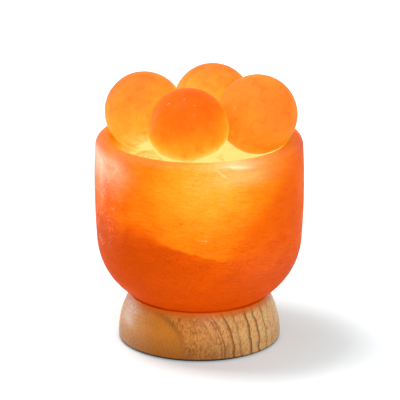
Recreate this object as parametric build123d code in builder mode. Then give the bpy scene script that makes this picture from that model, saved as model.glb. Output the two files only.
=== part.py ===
from build123d import *
import os
from math import asin, cos, degrees, radians, sin, sqrt, tan

# Salt crystal lamp: a hollowed bowl of rock salt on a turned wooden base, lit from inside
# by a small screw bulb, with four salt massage balls seated in a ring on the bowl's lip.
#
# Millimetres, +Z up. The origin is on the lamp's axis, on the surface that it stands on.
# The front is at -Y. The groove that lets a cord out of the base runs to +Y.

# ---- Clearances --------------------------------------------------------------------------
lift_gap = 0.3  # between pieces that lift or screw apart
slip_gap = 0.2  # between pieces of the lamp that slip together
dish_gap = 0.4  # between the bowl's haunch and the wooden dish around it

# ---- Wooden base -------------------------------------------------------------------------
base_height = 35.2
base_foot_radius = 61.4
base_top_radius = 52.5
base_foot_land = 3.0  # upright band at the bottom, before the side turns in
base_foot_round = 1.2
base_crest_round = 1.2
dish_depth = 5.0  # how far the bowl's flat foot is let into the top
well_depth = 10.0  # cord well in the underside, below the lamp holder
well_room = 2.0  # around the holder's flange
groove_room = 1.3  # beside the cord, each side
groove_headroom = 0.4  # above the cord
bore_radius = 19.0  # lamp bore, through the wood and the bowl's floor

# ---- Felt pads ---------------------------------------------------------------------------
pad_stand = 1.0  # how far the pads stand proud of the wood
pad_count = 4
pad_radius = 7.0
pad_thickness = 2.0
pad_inset = 3.9  # from the base's edge to a pad's edge
pad_start_angle = 45.0

# ---- Salt bowl ---------------------------------------------------------------------------
bowl_belly_radius = 77.75
bowl_lip_radius = 78.3  # outside of the lip, at the height of its centre
bowl_lip_height = 121.4  # centre of the rounded lip above the bowl's foot
bowl_haunch_radius = 53.4  # the arc that turns the side in to the foot
bowl_side_lean = 4.0  # degrees that the side still leans out where the haunch ends
bowl_foot_margin = 3.5  # salt left outside the plug holes
bowl_wall = 14.0
bowl_floor = 15.0
bowl_inner_corner = 36.0
bore_chamfer = 1.5

# ---- Fixings: screws up through the wood into plugs in the salt --------------------------
fixing_count = 3
fixing_start_angle = -90.0
fixing_web = 2.4  # wood left between the cord well and a counterbore
counterbore_radius = 4.6
counterbore_depth = 14.0
screw_shank_radius = 1.75
screw_head_radius = 3.5
screw_head_height = 2.6
screw_slot_width = 1.0
screw_slot_depth = 1.1
screw_end_short = 2.5  # how far a screw stops short of its plug's end
washer_radius = 4.2
washer_thickness = 0.8
plug_radius = 3.0
plug_length = 11.5
plug_hole_spare = 1.0  # drilled past the plug's end

# ---- Lamp holder -------------------------------------------------------------------------
holder_flange_radius = 21.5
holder_flange_thickness = 2.5
holder_cup_radius = 15.0
holder_cup_depth = 8.0  # below the flange's seat
holder_cup_floor = 1.2
holder_collar_wall = 2.0
holder_collar_height = 4.0  # upstand of the cap inside the shell
entry_radius = 2.7  # cord entry in the side of the cap
entry_wall = 1.0
entry_sill = 0.3  # from the cap's floor up to the entry
shell_radius = 13.5
shell_wall = 2.0
shell_height = 39.0
shell_lip = 1.6
shell_mouth_room = 0.6  # around the widest part of the bulb's cap
core_chamber_height = 6.0
core_chamber_wall = 1.8
core_floor = 5.0
sleeve_wall = 0.4  # brass sleeve that the bulb screws into
sleeve_length = 20.0
contact_width = 4.0
contact_thickness = 0.4
contact_rise = 1.7
contact_reach = 5.4
terminal_width = 5.0
terminal_depth = 6.0
terminal_height = 4.6
terminal_offset = 5.2
terminal_post_radius = 0.8
terminal_wire_radius = 0.9
terminal_screw_radius = 1.3
terminal_screw_length = 3.6
terminal_head_radius = 2.2
terminal_head_height = 1.5
clip_thickness = 0.6
clip_collar_height = 5.0
clip_leg_count = 3
clip_leg_width = 6.0
clip_leg_height = 27.0
clip_toe_room = 1.0  # between a leg's free end and the holder's shell

# ---- Bulb: small screw cap, frosted tube -------------------------------------------------
bulb_length = 85.0
bulb_radius = 12.5
bulb_glass_wall = 0.8
bulb_shoulder_height = 13.0
bulb_neck_hold = 5.0  # neck held inside the cap
bulb_thread_radius = 6.85
bulb_cap_wall = 0.35
bulb_cap_length = 18.0
bulb_flare_radius = 7.8
bulb_flare_height = 2.7
bulb_tip_radius = 2.4
bulb_tip_height = 1.0
bulb_insulator_height = 4.2
bulb_insulator_step = 2.3  # bare insulator between the tip and the cap
stem_length = 25.0
stem_radius = 2.8
stem_flare_height = 10.0
stem_rod_radius = 0.9
stem_rod_height = 14.0
stem_button_radius = 1.6
stem_button_height = 1.6
lead_wire_radius = 0.35
lead_wire_offset = 1.6
filament_radius = 0.4
filament_bow = 8.5  # from the axis out to the ends and the supports of the filament
support_count = 3
support_wire_radius = 0.2

# ---- Salt balls --------------------------------------------------------------------------
ball_places = ("left", "back", "right", "front")
ball_radius = 30.0
ball_gap = 0.35  # between neighbours, seen from above
ring_stretch = 0.75  # left and right balls further out, front and back further in
ring_turn = -12.7  # degrees
ring_shift_x = 1.0  # centre of the ring off the bowl's axis
ring_shift_y = -1.75
least_seat_angle = 33.0  # lowest point of the lip's round that still carries a ball

# ---- Sizes and heights that follow -------------------------------------------------------
base_bottom = pad_stand
base_top = base_bottom + base_height
bowl_foot = base_top - dish_depth
holder_seat = base_bottom + well_depth
well_radius = holder_flange_radius + well_room
pad_circle = base_foot_radius - pad_inset - pad_radius
fixing_circle = well_radius + fixing_web + counterbore_radius
bowl_foot_radius = fixing_circle + plug_radius + bowl_foot_margin

haunch_x = bowl_belly_radius - bowl_haunch_radius
haunch_z = bowl_foot + sqrt(bowl_haunch_radius**2 - (bowl_foot_radius - haunch_x) ** 2)
cavity_floor = bowl_foot + bowl_floor
lip_round = bowl_wall / 2
lip_circle = bowl_lip_radius - lip_round
lip_height = bowl_foot + bowl_lip_height

cup_bottom = holder_seat - holder_cup_depth
chamber_floor = cup_bottom + holder_cup_floor
entry_height = chamber_floor + entry_sill + entry_radius
shell_top = holder_seat + shell_height
core_radius = shell_radius - shell_wall - slip_gap
core_bottom = holder_seat + holder_collar_height
core_ledge = core_bottom + core_chamber_height
core_seat = core_ledge + core_floor
core_top = shell_top - shell_lip
sleeve_inside = bulb_thread_radius + lift_gap
sleeve_radius = sleeve_inside + sleeve_wall

bulb_tip = core_seat + contact_rise + lift_gap
insulator_bottom = bulb_tip + bulb_tip_height
cap_bottom = insulator_bottom + bulb_insulator_step
cap_shoulder = cap_bottom + bulb_cap_length
cap_top = cap_shoulder + bulb_flare_height
cap_inside = bulb_thread_radius - bulb_cap_wall
neck_radius = cap_inside - slip_gap
neck_bottom = cap_top - bulb_neck_hold
bulb_top = bulb_tip + bulb_length
pinch_top = neck_bottom + stem_length
rod_top = pinch_top + stem_rod_height
filament_height = rod_top + stem_button_height / 2

# The underside, looked at from below: its angles run the other way round.
underside = Plane(origin=(0, 0, base_bottom), x_dir=(1, 0, 0), z_dir=(0, 0, -1))


def haunch_arc(radius, end_angle):
    """Arc about the haunch's centre, from the bowl's foot up to an angle below level."""
    start_angle = degrees(asin((haunch_z - bowl_foot) / radius))
    points = []
    for angle in (start_angle, (start_angle + end_angle) / 2, end_angle):
        turn = radians(angle)
        points.append((haunch_x + radius * cos(turn), haunch_z - radius * sin(turn)))
    return ThreePointArc(*points)


def radial_plane(angle):
    """Upright plane through the lamp's axis: its x runs outward, its y runs up."""
    turn = radians(angle)
    return Plane(origin=(0, 0, 0), x_dir=(cos(turn), sin(turn), 0), z_dir=(sin(turn), -cos(turn), 0))


def ball_centres():
    """The balls sit as close together as they can, each resting on the lip's round."""
    seat_reach = ball_radius + lip_round + lift_gap
    tight_ring = (2 * ball_radius + ball_gap) / sqrt(2)
    carried_ring = lip_circle - seat_reach * cos(radians(least_seat_angle))
    ring = max(tight_ring, carried_ring)
    wide = ring + ring_stretch
    narrow = sqrt(2 * ring**2 - wide**2)
    centres = []
    for place, reach in enumerate((wide, narrow, wide, narrow)):
        angle = radians(180 - 90 * place + ring_turn)
        x = ring_shift_x + reach * cos(angle)
        y = ring_shift_y + reach * sin(angle)
        inset = lip_circle - sqrt(x**2 + y**2)
        centres.append((x, y, lip_height + sqrt(seat_reach**2 - inset**2)))
    return centres


# ---- Wooden base -------------------------------------------------------------------------
foot_corner = (base_foot_radius, base_bottom + base_foot_land)
top_corner = (base_top_radius, base_top)
with BuildPart() as wood_base:
    with BuildSketch(Plane.XZ):
        with BuildLine():
            Polyline((0, base_top), (0, base_bottom), (base_foot_radius, base_bottom), foot_corner)
            TangentArc(foot_corner, top_corner, tangent=(0, 1))
            Line(top_corner, (0, base_top))
        make_face()
    revolve(axis=Axis.Z)
    fillet(wood_base.edges().group_by(Axis.Z)[0], base_foot_round)

    # The dish follows the bowl's haunch and takes its flat foot.
    with BuildSketch(Plane.XZ):
        with BuildLine():
            dish_wall = haunch_arc(bowl_haunch_radius + dish_gap, 0)
            Polyline(dish_wall @ 1, (0, haunch_z), (0, bowl_foot), dish_wall @ 0)
        make_face()
    revolve(axis=Axis.Z, mode=Mode.SUBTRACT)
    crest = wood_base.faces().filter_by(Axis.Z).group_by(Axis.Z)[-1]
    fillet(crest.edges(), base_crest_round)

    # Lamp bore with the cord well below it, and the groove out to the back.
    with Locations(underside):
        CounterBoreHole(bore_radius, well_radius, well_depth)
    groove_width = 2 * (entry_radius + groove_room)
    with BuildSketch(Plane.XY.offset(base_bottom)):
        Rectangle(groove_width, base_foot_radius + 1, align=(Align.CENTER, Align.MIN))
    extrude(amount=entry_height + entry_radius + groove_headroom - base_bottom, mode=Mode.SUBTRACT)

    # Screw holes, sunk from below, and the pads' shallow recesses.
    with Locations(underside):
        with PolarLocations(fixing_circle, fixing_count, -fixing_start_angle):
            CounterBoreHole(screw_shank_radius + slip_gap, counterbore_radius, counterbore_depth)
        with PolarLocations(pad_circle, pad_count, -pad_start_angle):
            Hole(pad_radius + slip_gap, pad_thickness - pad_stand)
wood_base.part.label = "wood_base"

with BuildPart() as foot_pads:
    with BuildSketch():
        with PolarLocations(pad_circle, pad_count, pad_start_angle):
            Circle(pad_radius)
    extrude(amount=pad_thickness)
foot_pads.part.label = "foot_pads"

# ---- Salt bowl ---------------------------------------------------------------------------
lip_outside = (bowl_lip_radius, lip_height)
lip_crest = (lip_circle, lip_height + lip_round)
lip_inside = (lip_circle - lip_round, lip_height)
inner_corner = (bowl_belly_radius - bowl_wall, cavity_floor)
bore_top = (bore_radius, cavity_floor)
with BuildPart() as salt_bowl:
    with BuildSketch(Plane.XZ):
        with BuildLine():
            haunch = haunch_arc(bowl_haunch_radius, bowl_side_lean)
            TangentArc(haunch @ 1, lip_outside, tangent=haunch % 1)
            ThreePointArc(lip_outside, lip_crest, lip_inside)
            FilletPolyline(lip_inside, inner_corner, bore_top, radius=bowl_inner_corner)
            Polyline(bore_top, (bore_radius, bowl_foot), haunch @ 0)
        make_face()
    revolve(axis=Axis.Z)
    bore_faces = salt_bowl.faces().filter_by(GeomType.CYLINDER).sort_by(SortBy.RADIUS)
    chamfer(bore_faces[0].edges().group_by(Axis.Z)[-1], bore_chamfer)

    # Holes for the screw plugs, drilled up from the foot.
    with Locations(underside.offset(base_bottom - bowl_foot)):
        with PolarLocations(fixing_circle, fixing_count, -fixing_start_angle):
            Hole(plug_radius, plug_length + plug_hole_spare)
salt_bowl.part.label = "salt_bowl"

# ---- Fixings -----------------------------------------------------------------------------
washer_bottom = base_bottom + counterbore_depth - washer_thickness
head_bottom = washer_bottom - screw_head_height
screw_end = bowl_foot + plug_length - screw_end_short
with BuildPart() as base_screws:
    with BuildSketch(Plane.XY.offset(head_bottom)):
        with PolarLocations(fixing_circle, fixing_count, fixing_start_angle):
            Circle(screw_head_radius)
    extrude(amount=screw_head_height)
    chamfer(base_screws.edges().group_by(Axis.Z)[0], screw_head_height / 3)
    with BuildSketch(Plane.XY.offset(washer_bottom)):
        with PolarLocations(fixing_circle, fixing_count, fixing_start_angle):
            Circle(screw_shank_radius)
    extrude(amount=screw_end - washer_bottom)
    chamfer(base_screws.edges().group_by(Axis.Z)[-1], screw_shank_radius * 0.7)
    with BuildSketch(Plane.XY.offset(head_bottom)):
        with PolarLocations(fixing_circle, fixing_count, fixing_start_angle):
            Rectangle(2 * screw_head_radius, screw_slot_width)
    extrude(amount=screw_slot_depth, mode=Mode.SUBTRACT)
base_screws.part.label = "base_screws"

with BuildPart() as base_washers:
    with BuildSketch(Plane.XY.offset(washer_bottom)):
        with PolarLocations(fixing_circle, fixing_count, fixing_start_angle):
            Circle(washer_radius)
            Circle(screw_shank_radius + slip_gap, mode=Mode.SUBTRACT)
    extrude(amount=washer_thickness)
base_washers.part.label = "base_washers"

with BuildPart() as screw_plugs:
    with BuildSketch(Plane.XY.offset(bowl_foot)):
        with PolarLocations(fixing_circle, fixing_count, fixing_start_angle):
            Circle(plug_radius - slip_gap / 2)
            Circle(screw_shank_radius + slip_gap / 2, mode=Mode.SUBTRACT)
    extrude(amount=plug_length)
screw_plugs.part.label = "screw_plugs"

# ---- Lamp holder: cap, shell and core ----------------------------------------------------
entry_mouth = Plane.XZ.offset(-holder_flange_radius)
chamber_radius = core_radius - holder_collar_wall
with BuildPart() as holder_cap:
    with BuildSketch(Plane.XZ):
        with BuildLine():
            Polyline(
                (0, cup_bottom),
                (holder_cup_radius, cup_bottom),
                (holder_cup_radius, holder_seat - holder_flange_thickness),
                (holder_flange_radius, holder_seat - holder_flange_thickness),
                (holder_flange_radius, holder_seat),
                (core_radius, holder_seat),
                (core_radius, core_bottom),
                (0, core_bottom),
                close=True,
            )
        make_face()
    revolve(axis=Axis.Z)
    chamfer(holder_cap.edges().group_by(Axis.Z)[0], entry_wall)
    with BuildSketch(entry_mouth):
        with Locations((0, entry_height)):
            Circle(entry_radius + entry_wall)
    extrude(amount=holder_flange_radius)
    with BuildSketch(Plane.XY.offset(chamber_floor)):
        Circle(chamber_radius)
    extrude(amount=core_bottom - chamber_floor, mode=Mode.SUBTRACT)
    with BuildSketch(entry_mouth):
        with Locations((0, entry_height)):
            Circle(entry_radius)
    extrude(amount=holder_flange_radius, mode=Mode.SUBTRACT)
holder_cap.part.label = "holder_cap"

shell_mouth = bulb_flare_radius + shell_mouth_room
with BuildPart() as holder_shell:
    with BuildSketch(Plane.XY.offset(holder_seat)):
        Circle(shell_radius)
    extrude(amount=shell_height)
    chamfer(holder_shell.edges().group_by(Axis.Z)[-1], shell_lip / 2)
    with Locations((0, 0, shell_top)):
        Hole(shell_mouth)
    with BuildSketch(Plane.XY.offset(holder_seat)):
        Circle(shell_radius - shell_wall)
    extrude(amount=shell_height - shell_lip, mode=Mode.SUBTRACT)
holder_shell.part.label = "holder_shell"

# Each terminal has a post up through the core's floor: one to the tongue under the
# bulb's tip, the other to the rim of the brass sleeve.
tongue_post = (-contact_reach + 2 * terminal_post_radius, 0)
sleeve_post = (sleeve_radius - terminal_post_radius, 0)
with BuildPart() as holder_core:
    with BuildSketch(Plane.XY.offset(core_bottom)):
        Circle(core_radius)
    extrude(amount=core_top - core_bottom)
    with BuildSketch(Plane.XY.offset(core_bottom)):
        Circle(core_radius - core_chamber_wall)
    extrude(amount=core_chamber_height, mode=Mode.SUBTRACT)
    with BuildSketch(Plane.XY.offset(core_seat)):
        Circle(sleeve_radius + slip_gap / 2)
    extrude(until=Until.LAST, mode=Mode.SUBTRACT)
    with Locations(Plane.XY.offset(core_seat)):
        with Locations(tongue_post, sleeve_post):
            Hole(terminal_post_radius + slip_gap / 2, core_floor)
holder_core.part.label = "holder_core"

with BuildPart() as screw_sleeve:
    with BuildSketch(Plane.XY.offset(core_seat)):
        Circle(sleeve_radius)
        Circle(sleeve_inside, mode=Mode.SUBTRACT)
    extrude(amount=sleeve_length)
screw_sleeve.part.label = "screw_sleeve"

# ---- Lamp holder: contact, terminals and spring clip -------------------------------------
tongue_low = core_seat + contact_thickness / 2
tongue_high = core_seat + contact_rise - contact_thickness / 2
with BuildPart() as centre_contact:
    with BuildSketch(Plane.XZ):
        with BuildLine():
            Polyline(
                (-contact_reach, tongue_low),
                (-contact_reach * 0.45, tongue_low),
                (-bulb_tip_radius * 0.4, tongue_high),
                (bulb_tip_radius * 0.4, tongue_high),
                (bulb_tip_radius, (tongue_low + tongue_high) / 2),
            )
        trace(line_width=contact_thickness)
    extrude(amount=contact_width / 2, both=True)
centre_contact.part.label = "centre_contact"

terminal_bottom = core_ledge - terminal_height
wire_height = terminal_bottom + terminal_height / 2
with BuildPart() as terminals:
    with BuildSketch(Plane.XY.offset(terminal_bottom)):
        with Locations((-terminal_offset, 0), (terminal_offset, 0)):
            Rectangle(terminal_width, terminal_depth)
    extrude(amount=terminal_height)
    with BuildSketch(Plane.XY.offset(core_ledge)):
        with Locations(tongue_post, sleeve_post):
            Circle(terminal_post_radius)
    extrude(amount=core_floor)
    with BuildSketch(Plane.XZ):
        with Locations((-terminal_offset, wire_height), (terminal_offset, wire_height)):
            Circle(terminal_wire_radius)
    extrude(amount=terminal_depth, both=True, mode=Mode.SUBTRACT)
    with BuildSketch(Plane.XY.offset(terminal_bottom)):
        with Locations((-terminal_offset, 0), (terminal_offset, 0)):
            Circle(terminal_screw_radius + slip_gap / 2)
    extrude(amount=terminal_screw_length, mode=Mode.SUBTRACT)
terminals.part.label = "terminals"

with BuildPart() as terminal_screws:
    with BuildSketch(Plane.XY.offset(terminal_bottom - terminal_head_height)):
        with Locations((-terminal_offset, 0), (terminal_offset, 0)):
            Circle(terminal_head_radius)
    extrude(amount=terminal_head_height)
    with BuildSketch(Plane.XY.offset(terminal_bottom)):
        with Locations((-terminal_offset, 0), (terminal_offset, 0)):
            Circle(terminal_screw_radius)
    extrude(amount=terminal_screw_length)
terminal_screws.part.label = "terminal_screws"

# Three bowed legs press on the wall of the lamp bore. Each is a flat strip, so its
# corners reach the bore first.
collar_inside = shell_radius + slip_gap / 2
leg_reach = sqrt((bore_radius - slip_gap) ** 2 - (clip_leg_width / 2) ** 2)
leg_root = (collar_inside + clip_thickness / 2, holder_seat + clip_collar_height / 2)
leg_knee = (leg_reach - clip_thickness / 2, holder_seat + clip_leg_height / 2)
leg_toe = (shell_radius + clip_toe_room + clip_thickness / 2, holder_seat + clip_leg_height)
with BuildPart() as spring_clip:
    with BuildSketch(Plane.XY.offset(holder_seat)):
        Circle(collar_inside + clip_thickness)
        Circle(collar_inside, mode=Mode.SUBTRACT)
    extrude(amount=clip_collar_height)
    for leg in range(clip_leg_count):
        with BuildSketch(radial_plane(leg * 360 / clip_leg_count)):
            with BuildLine():
                Spline(leg_root, leg_knee, leg_toe, tangents=[(0, 1), (0, 1), (-0.4, 1)])
            trace(line_width=clip_thickness)
        extrude(amount=clip_leg_width / 2, both=True)
spring_clip.part.label = "spring_clip"

# ---- Bulb --------------------------------------------------------------------------------
with BuildPart() as bulb_glass:
    for inset, mode in ((0, Mode.ADD), (bulb_glass_wall, Mode.SUBTRACT)):
        neck_top = (neck_radius - inset, cap_top)
        shoulder = (bulb_radius - inset, cap_top + bulb_shoulder_height)
        dome_start = (bulb_radius - inset, bulb_top - bulb_radius)
        with BuildSketch(Plane.XZ):
            with BuildLine():
                Polyline((0, dome_start[1]), (0, neck_bottom), (neck_top[0], neck_bottom), neck_top)
                Spline(neck_top, shoulder, tangents=[(0, 1), (0, 1)])
                Line(shoulder, dome_start)
                dome = CenterArc((0, dome_start[1]), bulb_radius - inset, 0, 90)
                Line(dome @ 1, (0, dome_start[1]))
            make_face()
        revolve(axis=Axis.Z, mode=mode)
bulb_glass.part.label = "bulb_glass"

with BuildPart() as bulb_cap:
    for inset, mode in ((0, Mode.ADD), (bulb_cap_wall, Mode.SUBTRACT)):
        with BuildSketch(Plane.XZ):
            with BuildLine():
                Polyline(
                    (0, cap_bottom),
                    (bulb_thread_radius - inset, cap_bottom),
                    (bulb_thread_radius - inset, cap_shoulder),
                    (bulb_flare_radius - inset, cap_top),
                    (0, cap_top),
                    close=True,
                )
            make_face()
        revolve(axis=Axis.Z, mode=mode)
bulb_cap.part.label = "bulb_cap"

with BuildPart() as bulb_insulator:
    with BuildSketch(Plane.XZ):
        with BuildLine():
            Polyline(
                (0, insulator_bottom),
                (bulb_tip_radius + bulb_tip_height, insulator_bottom),
                (neck_radius, cap_bottom),
                (neck_radius, insulator_bottom + bulb_insulator_height),
                (0, insulator_bottom + bulb_insulator_height),
                close=True,
            )
        make_face()
    revolve(axis=Axis.Z)
bulb_insulator.part.label = "bulb_insulator"

with BuildPart() as bulb_tip_contact:
    with BuildSketch(Plane.XY.offset(bulb_tip)):
        Circle(bulb_tip_radius)
    extrude(amount=bulb_tip_height)
    chamfer(bulb_tip_contact.edges().group_by(Axis.Z)[0], bulb_tip_height * 0.6)
bulb_tip_contact.part.label = "bulb_tip_contact"

stem_flare = neck_radius - bulb_glass_wall - slip_gap
with BuildPart() as bulb_stem:
    with BuildSketch(Plane.XZ):
        with BuildLine():
            Polyline(
                (0, neck_bottom),
                (stem_flare, neck_bottom),
                (stem_radius, neck_bottom + stem_flare_height),
                (stem_radius, pinch_top),
                (stem_rod_radius, pinch_top),
                (stem_rod_radius, rod_top),
                (stem_button_radius, rod_top),
                (stem_button_radius, rod_top + stem_button_height),
                (0, rod_top + stem_button_height),
                close=True,
            )
        make_face()
    revolve(axis=Axis.Z)
bulb_stem.part.label = "bulb_stem"

lead_wire_top = filament_height - filament_radius
with BuildPart() as lead_wires:
    with BuildLine(Plane.XZ) as lead_route:
        Polyline(
            (lead_wire_offset, pinch_top),
            (lead_wire_offset, pinch_top + stem_rod_height / 4),
            (filament_bow, pinch_top + stem_rod_height * 0.7),
            (filament_bow, lead_wire_top),
        )
    with BuildSketch(Plane.XY.offset(pinch_top)):
        with Locations((lead_wire_offset, 0)):
            Circle(lead_wire_radius)
    sweep(path=lead_route.line, transition=Transition.RIGHT)
    mirror(about=Plane.YZ)
lead_wires.part.label = "lead_wires"

# The filament is strung in straight stretches, in a half ring round the front. Each
# support ends where its rim meets the filament on both sides of a corner.
support_turn = radians(180 / (support_count + 1))
corner_depth = filament_radius / cos(support_turn / 2) + support_wire_radius * tan(support_turn / 2)
with BuildPart() as filament:
    hooks = []
    for hook in range(support_count + 2):
        turn = hook * support_turn
        hooks.append((filament_bow * cos(turn), -filament_bow * sin(turn), filament_height))
    with BuildLine() as strung:
        Polyline(*hooks)
    with BuildSketch(Plane(origin=strung.line @ 0, z_dir=strung.line % 0)):
        Circle(filament_radius)
    sweep(path=strung.line, transition=Transition.RIGHT)
filament.part.label = "filament"

with BuildPart() as filament_supports:
    for support in range(support_count):
        turn = -(support + 1) * support_turn
        outward = Plane(origin=(0, 0, filament_height), z_dir=(cos(turn), sin(turn), 0))
        with BuildSketch(outward.offset(stem_button_radius)):
            Circle(support_wire_radius)
        extrude(amount=filament_bow - corner_depth - stem_button_radius)
filament_supports.part.label = "filament_supports"

# ---- Salt balls --------------------------------------------------------------------------
balls = []
for place, centre in zip(ball_places, ball_centres()):
    with BuildPart() as ball:
        with Locations(centre):
            Sphere(ball_radius)
    ball.part.label = "salt_ball_" + place
    balls.append(ball)

# ---- Files -------------------------------------------------------------------------------
fixed_pieces = [wood_base, foot_pads, salt_bowl, base_screws, base_washers, screw_plugs]
holder_pieces = [holder_cap, holder_shell, holder_core, screw_sleeve, centre_contact]
holder_pieces += [terminals, terminal_screws, spring_clip]
bulb_pieces = [bulb_glass, bulb_cap, bulb_insulator, bulb_tip_contact, bulb_stem]
bulb_pieces += [lead_wires, filament, filament_supports]

os.makedirs("parts", exist_ok=True)
for piece in fixed_pieces + holder_pieces + bulb_pieces + balls:
    export_step(piece.part, "parts/" + piece.part.label + ".step")
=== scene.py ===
from math import cos, pi, radians, sin
from types import SimpleNamespace

import bmesh
import bpy
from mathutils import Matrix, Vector, noise


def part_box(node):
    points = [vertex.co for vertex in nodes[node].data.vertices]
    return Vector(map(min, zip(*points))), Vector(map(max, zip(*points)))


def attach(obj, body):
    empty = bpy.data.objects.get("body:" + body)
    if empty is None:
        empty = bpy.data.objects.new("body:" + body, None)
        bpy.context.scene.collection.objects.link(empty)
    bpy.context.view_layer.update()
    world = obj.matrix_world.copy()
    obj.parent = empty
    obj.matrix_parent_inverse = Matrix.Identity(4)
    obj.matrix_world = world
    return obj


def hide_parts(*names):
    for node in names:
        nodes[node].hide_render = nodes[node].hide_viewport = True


# Looks of the salt crystal lamp: lit rock salt, turned wood and the fittings inside.
# Metres, +Z up, the front at -Y, as in the frame.
#
# Many of the values below are fades. (low, high, start, end) says that a value goes from start
# to end while a place, or a pattern from -1 to 1, goes from low to high. Without start and
# end the value goes from 0 to 1. Outside low and high it stays as it is there.

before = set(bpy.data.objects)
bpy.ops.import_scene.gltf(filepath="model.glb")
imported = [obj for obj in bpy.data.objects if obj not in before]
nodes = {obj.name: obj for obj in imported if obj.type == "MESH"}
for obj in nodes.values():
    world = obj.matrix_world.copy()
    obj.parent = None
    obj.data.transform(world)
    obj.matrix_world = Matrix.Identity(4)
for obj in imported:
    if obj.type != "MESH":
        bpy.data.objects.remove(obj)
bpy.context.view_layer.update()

MM = 0.001

# ---- Camera and studio -------------------------------------------------------------------
CAMERA_ELEVATION = radians(18.0)
CAMERA_DISTANCE = 2.5
CAMERA_AIM = Vector((0.0005, 0.0, 0.108))
CAMERA_LENS = 298.4  # millimetres
CAMERA_SENSOR = 36.0  # millimetres
CAMERA_REACH = 50.0
FLOOR_HALF = 4.0
FLOOR_ALBEDO = 0.86
# What the camera sees on top of the lit floor, so that it reads white: fades over the
# distance from the lamp's axis, which paints shade on the floor under and around the lamp.
# Their colour evens out the warm light that the lamp throws.
FLOOR_LIFTS = (
    (30 * MM, 62 * MM, 0.0, 0.28),
    (70 * MM, 160 * MM, 0.0, 0.16),
    (200 * MM, 900 * MM, 0.0, 0.40),
)
FLOOR_LIFT_COLOUR = (0.86, 1.0, 1.03)
FILL_LIGHT = 0.36  # the white surroundings, as they light the lamp
# Soft square lights: name, place, side, and the share of full white that each one adds.
STUDIO_LIGHTS = (
    ("key_above", (-0.66, 0.20, 2.15), 0.65, 0.52),
    ("softbox_left", (-1.25, 0.85, 0.45), 0.60, 0.20),
    ("front_fill", (0.5, -1.9, 1.1), 1.20, 0.32),
)

# ---- Light inside ------------------------------------------------------------------------
BULB_CENTRE = Vector((0.0, 0.0, 0.095))
BULB_STRENGTH = 5.0  # as it lights the salt; it is seen at 1, so that its colour shows

# ---- Meshes ------------------------------------------------------------------------------
BOWL_VOXEL = 1.45 * MM
BALL_SUBDIVISIONS = 5
# The salt is turned a little unevenly: how deep, over what size, and the pattern's start. A
# ball has a start of its own.
BOWL_WAVES = (
    (0.35 * MM, 24 * MM, 3.0),
    (0.12 * MM, 6 * MM, 9.0),
)
BALL_WAVES = (
    (0.30 * MM, 20 * MM),
    (0.08 * MM, 5 * MM),
)
TRUE_SEAT = 8 * MM  # the bowl's unevenness grows over this height above the base


def tone(red, green, blue):
    """A colour as it shows on a screen, 0 to 255, as the renderer's linear values."""
    channels = [c / 255 for c in (red, green, blue)]
    return tuple(c / 12.92 if c < 0.04045 else ((c + 0.055) / 1.055) ** 2.4 for c in channels)


def moved(fade, by):
    """A fade over heights that are counted from another height."""
    low, high, start, end = fade
    return low + by, high + by, start, end


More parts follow.
